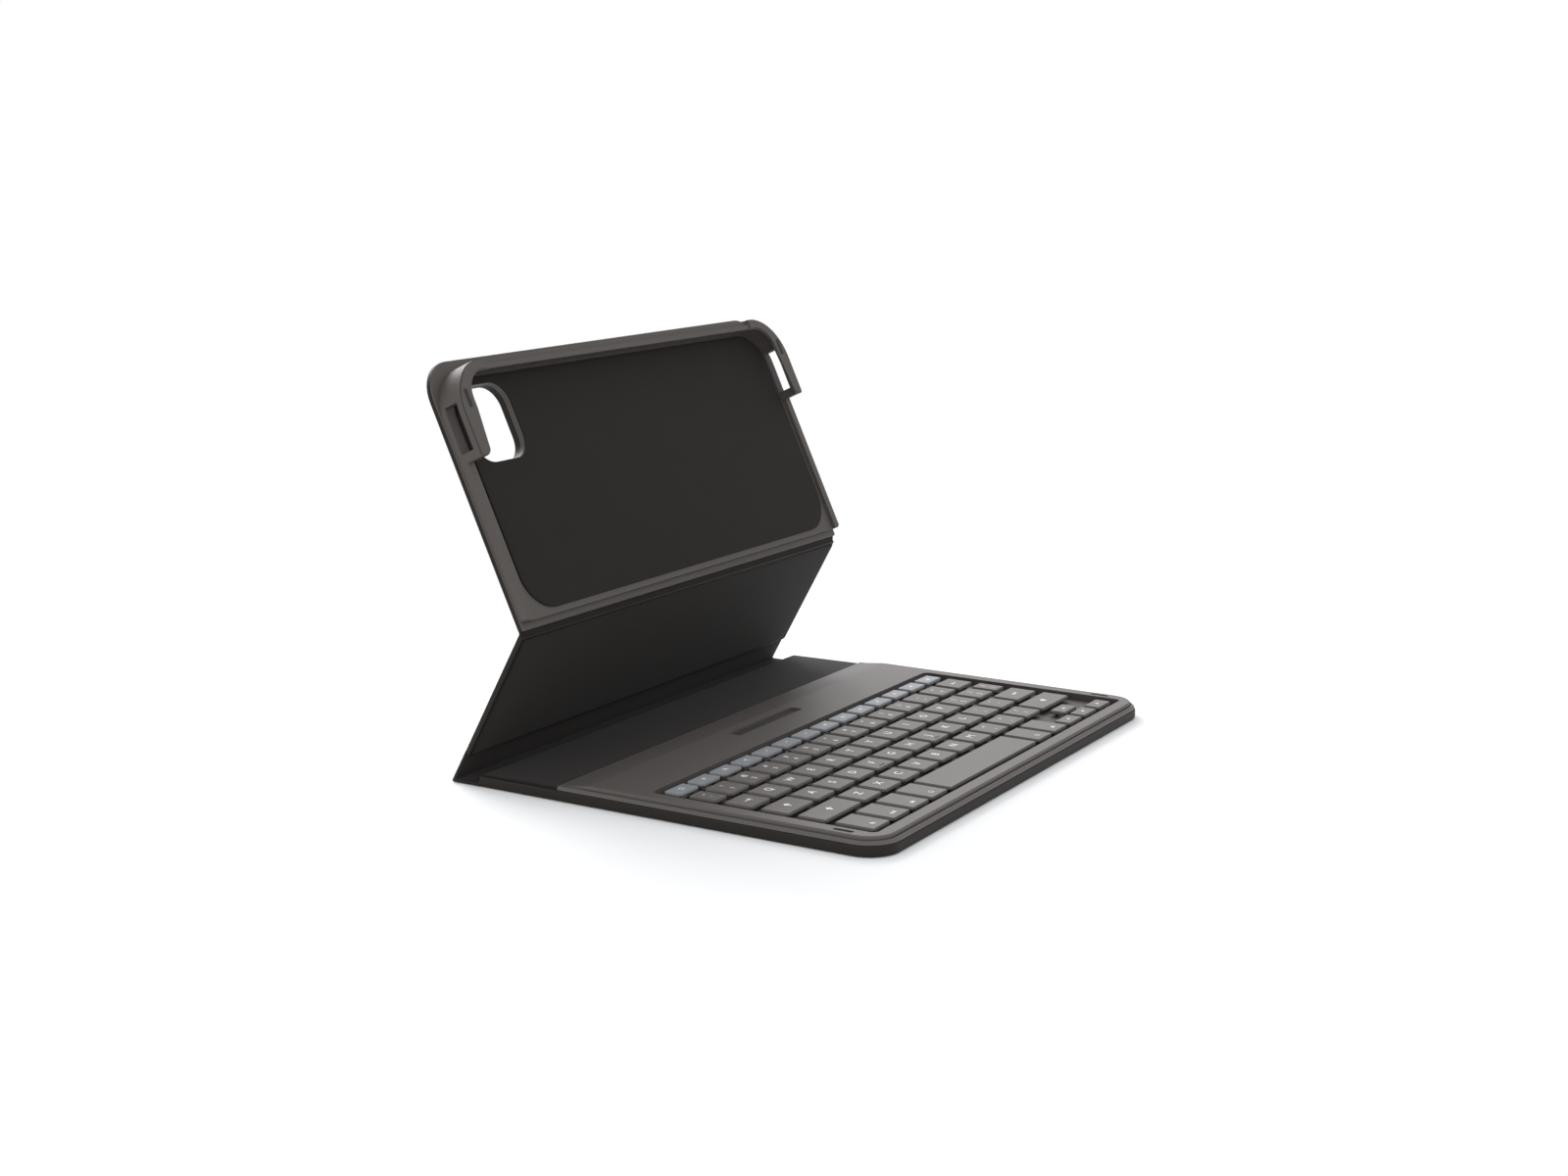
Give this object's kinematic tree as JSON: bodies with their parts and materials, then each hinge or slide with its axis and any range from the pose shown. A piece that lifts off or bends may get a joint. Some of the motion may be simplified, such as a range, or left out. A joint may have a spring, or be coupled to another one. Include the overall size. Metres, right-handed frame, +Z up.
{
  "type": "tablet keyboard case",
  "caption": "Folding case that props a tablet upright in a hinged tray behind a keyboard deck, and folds flat over the keys.",
  "frame": {"origin": "centre of the underside of the keyboard base", "axes": "+X along the keyboard to its right-hand end, -Y towards the person typing, +Z up"},
  "size_m": [0.26, 0.2183, 0.1766],
  "materials": {
    "cover": "grained soft polyurethane, matte",
    "lining": "smooth padded lining, matte",
    "board": "plain stiffener board",
    "deck": "fine texture, matte",
    "shell": "fine texture, matte",
    "steel": "plain sheet",
    "film": "clear film, matte",
    "domes": "silicone, matte",
    "circuit": "coated laminate",
    "cell": "foil pouch, satin",
    "pad": "matte",
    "magnet": "plated, satin",
    "key": "fine texture, matte",
    "function_key": "fine texture, matte"
  },
  "bodies": {
    "base": {"base_cover": "cover", "base_board": "board", "keyboard_deck": "deck", "key_plate": "steel", "switch_membrane": "film", "dome_sheet": "domes", "circuit_board": "circuit", "battery": "cell", "charge_port": "steel", "dock_pad": "pad", "dock_magnets": "magnet", "rim_magnets": "magnet", "rim_plates": "pad", "rear_apron": "lining"},
    "spine": {"spine_cover": "cover", "spine_lining": "lining"},
    "gusset": {"gusset_cover": "cover", "gusset_lining": "lining"},
    "leg": {"leg_cover": "cover", "leg_board": "board", "leg_lining": "lining"},
    "tray": {"tray_cover": "cover", "tray_board": "board", "tray_shell": "shell", "tray_lining": "lining", "bezel_bumpers": "pad"},
    "press_key_q": {"key_q": "key"},
    "press_key_w": {"key_w": "key"},
    "press_key_e": {"key_e": "key"},
    "press_key_r": {"key_r": "key"},
    "press_key_t": {"key_t": "key"},
    "press_key_y": {"key_y": "key"},
    "press_key_u": {"key_u": "key"},
    "press_key_i": {"key_i": "key"},
    "press_key_o": {"key_o": "key"},
    "press_key_p": {"key_p": "key"},
    "press_key_a": {"key_a": "key"},
    "press_key_s": {"key_s": "key"},
    "press_key_d": {"key_d": "key"},
    "press_key_f": {"key_f": "key"},
    "press_key_g": {"key_g": "key"},
    "press_key_h": {"key_h": "key"},
    "press_key_j": {"key_j": "key"},
    "press_key_k": {"key_k": "key"},
    "press_key_l": {"key_l": "key"},
    "press_key_z": {"key_z": "key"},
    "press_key_x": {"key_x": "key"},
    "press_key_c": {"key_c": "key"},
    "press_key_v": {"key_v": "key"},
    "press_key_b": {"key_b": "key"},
    "press_key_n": {"key_n": "key"},
    "press_key_m": {"key_m": "key"},
    "press_space_key": {"space_key": "key"},
    "press_return_key": {"return_key": "key"},
    "press_left_shift_key": {"left_shift_key": "key"},
    "press_right_shift_key": {"right_shift_key": "key"},
    "press_function_keys": {"function_keys": "function_key"},
    "press_number_keys": {"number_keys": "key"},
    "press_edge_keys": {"edge_keys": "key"},
    "press_command_keys": {"command_keys": "key"}
  },
  "joints": [
    {"name": "close_case", "type": "hinge", "parent": "base", "child": "spine", "pos_m": [0, 0.0965, 0.0018], "axis": [1, 0, 0], "range_deg": [0, 90]},
    {"name": "fold_floor_crease", "type": "hinge", "parent": "spine", "child": "gusset", "pos_m": [0, 0.11015, 0], "axis": [1, 0, 0], "range_deg": [-67.77, 0]},
    {"name": "fold_leg_crease", "type": "hinge", "parent": "gusset", "child": "leg", "pos_m": [0, 0.10258, 0.01296], "axis": [1, 0, 0], "range_deg": [0, 39.42]},
    {"name": "fold_tray", "type": "hinge", "parent": "leg", "child": "tray", "pos_m": [0, 0.07314, 0.06775], "axis": [1, 0, 0], "range_deg": [0, 56.65]},
    {"name": "push_key_q", "type": "slide", "parent": "base", "child": "press_key_q", "axis": [0, 0, -1], "range_m": [0, 0.0012], "stiffness_N_per_m": 300, "springref_m": -0.0006},
    {"name": "push_key_w", "type": "slide", "parent": "base", "child": "press_key_w", "axis": [0, 0, -1], "range_m": [0, 0.0012], "stiffness_N_per_m": 300, "springref_m": -0.0006},
    {"name": "push_key_e", "type": "slide", "parent": "base", "child": "press_key_e", "axis": [0, 0, -1], "range_m": [0, 0.0012], "stiffness_N_per_m": 300, "springref_m": -0.0006},
    {"name": "push_key_r", "type": "slide", "parent": "base", "child": "press_key_r", "axis": [0, 0, -1], "range_m": [0, 0.0012], "stiffness_N_per_m": 300, "springref_m": -0.0006},
    {"name": "push_key_t", "type": "slide", "parent": "base", "child": "press_key_t", "axis": [0, 0, -1], "range_m": [0, 0.0012], "stiffness_N_per_m": 300, "springref_m": -0.0006},
    {"name": "push_key_y", "type": "slide", "parent": "base", "child": "press_key_y", "axis": [0, 0, -1], "range_m": [0, 0.0012], "stiffness_N_per_m": 300, "springref_m": -0.0006},
    {"name": "push_key_u", "type": "slide", "parent": "base", "child": "press_key_u", "axis": [0, 0, -1], "range_m": [0, 0.0012], "stiffness_N_per_m": 300, "springref_m": -0.0006},
    {"name": "push_key_i", "type": "slide", "parent": "base", "child": "press_key_i", "axis": [0, 0, -1], "range_m": [0, 0.0012], "stiffness_N_per_m": 300, "springref_m": -0.0006},
    {"name": "push_key_o", "type": "slide", "parent": "base", "child": "press_key_o", "axis": [0, 0, -1], "range_m": [0, 0.0012], "stiffness_N_per_m": 300, "springref_m": -0.0006},
    {"name": "push_key_p", "type": "slide", "parent": "base", "child": "press_key_p", "axis": [0, 0, -1], "range_m": [0, 0.0012], "stiffness_N_per_m": 300, "springref_m": -0.0006},
    {"name": "push_key_a", "type": "slide", "parent": "base", "child": "press_key_a", "axis": [0, 0, -1], "range_m": [0, 0.0012], "stiffness_N_per_m": 300, "springref_m": -0.0006},
    {"name": "push_key_s", "type": "slide", "parent": "base", "child": "press_key_s", "axis": [0, 0, -1], "range_m": [0, 0.0012], "stiffness_N_per_m": 300, "springref_m": -0.0006},
    {"name": "push_key_d", "type": "slide", "parent": "base", "child": "press_key_d", "axis": [0, 0, -1], "range_m": [0, 0.0012], "stiffness_N_per_m": 300, "springref_m": -0.0006},
    {"name": "push_key_f", "type": "slide", "parent": "base", "child": "press_key_f", "axis": [0, 0, -1], "range_m": [0, 0.0012], "stiffness_N_per_m": 300, "springref_m": -0.0006},
    {"name": "push_key_g", "type": "slide", "parent": "base", "child": "press_key_g", "axis": [0, 0, -1], "range_m": [0, 0.0012], "stiffness_N_per_m": 300, "springref_m": -0.0006},
    {"name": "push_key_h", "type": "slide", "parent": "base", "child": "press_key_h", "axis": [0, 0, -1], "range_m": [0, 0.0012], "stiffness_N_per_m": 300, "springref_m": -0.0006},
    {"name": "push_key_j", "type": "slide", "parent": "base", "child": "press_key_j", "axis": [0, 0, -1], "range_m": [0, 0.0012], "stiffness_N_per_m": 300, "springref_m": -0.0006},
    {"name": "push_key_k", "type": "slide", "parent": "base", "child": "press_key_k", "axis": [0, 0, -1], "range_m": [0, 0.0012], "stiffness_N_per_m": 300, "springref_m": -0.0006},
    {"name": "push_key_l", "type": "slide", "parent": "base", "child": "press_key_l", "axis": [0, 0, -1], "range_m": [0, 0.0012], "stiffness_N_per_m": 300, "springref_m": -0.0006},
    {"name": "push_key_z", "type": "slide", "parent": "base", "child": "press_key_z", "axis": [0, 0, -1], "range_m": [0, 0.0012], "stiffness_N_per_m": 300, "springref_m": -0.0006},
    {"name": "push_key_x", "type": "slide", "parent": "base", "child": "press_key_x", "axis": [0, 0, -1], "range_m": [0, 0.0012], "stiffness_N_per_m": 300, "springref_m": -0.0006},
    {"name": "push_key_c", "type": "slide", "parent": "base", "child": "press_key_c", "axis": [0, 0, -1], "range_m": [0, 0.0012], "stiffness_N_per_m": 300, "springref_m": -0.0006},
    {"name": "push_key_v", "type": "slide", "parent": "base", "child": "press_key_v", "axis": [0, 0, -1], "range_m": [0, 0.0012], "stiffness_N_per_m": 300, "springref_m": -0.0006},
    {"name": "push_key_b", "type": "slide", "parent": "base", "child": "press_key_b", "axis": [0, 0, -1], "range_m": [0, 0.0012], "stiffness_N_per_m": 300, "springref_m": -0.0006},
    {"name": "push_key_n", "type": "slide", "parent": "base", "child": "press_key_n", "axis": [0, 0, -1], "range_m": [0, 0.0012], "stiffness_N_per_m": 300, "springref_m": -0.0006},
    {"name": "push_key_m", "type": "slide", "parent": "base", "child": "press_key_m", "axis": [0, 0, -1], "range_m": [0, 0.0012], "stiffness_N_per_m": 300, "springref_m": -0.0006},
    {"name": "push_space_key", "type": "slide", "parent": "base", "child": "press_space_key", "axis": [0, 0, -1], "range_m": [0, 0.0012], "stiffness_N_per_m": 300, "springref_m": -0.0006},
    {"name": "push_return_key", "type": "slide", "parent": "base", "child": "press_return_key", "axis": [0, 0, -1], "range_m": [0, 0.0012], "stiffness_N_per_m": 300, "springref_m": -0.0006},
    {"name": "push_left_shift_key", "type": "slide", "parent": "base", "child": "press_left_shift_key", "axis": [0, 0, -1], "range_m": [0, 0.0012], "stiffness_N_per_m": 300, "springref_m": -0.0006},
    {"name": "push_right_shift_key", "type": "slide", "parent": "base", "child": "press_right_shift_key", "axis": [0, 0, -1], "range_m": [0, 0.0012], "stiffness_N_per_m": 300, "springref_m": -0.0006},
    {"name": "push_function_keys", "type": "slide", "parent": "base", "child": "press_function_keys", "axis": [0, 0, -1], "range_m": [0, 0.0012], "stiffness_N_per_m": 4200, "springref_m": -0.0006},
    {"name": "push_number_keys", "type": "slide", "parent": "base", "child": "press_number_keys", "axis": [0, 0, -1], "range_m": [0, 0.0012], "stiffness_N_per_m": 4200, "springref_m": -0.0006},
    {"name": "push_edge_keys", "type": "slide", "parent": "base", "child": "press_edge_keys", "axis": [0, 0, -1], "range_m": [0, 0.0012], "stiffness_N_per_m": 3000, "springref_m": -0.0006},
    {"name": "push_command_keys", "type": "slide", "parent": "base", "child": "press_command_keys", "axis": [0, 0, -1], "range_m": [0, 0.0012], "stiffness_N_per_m": 3000, "springref_m": -0.0006}
  ],
  "couplings": [
    {"joint": "fold_floor_crease", "follows": "close_case", "ratio": -0.71966},
    {"joint": "fold_leg_crease", "follows": "close_case", "ratio": 0.40467},
    {"joint": "fold_tray", "follows": "close_case", "ratio": 0.5961}
  ]
}
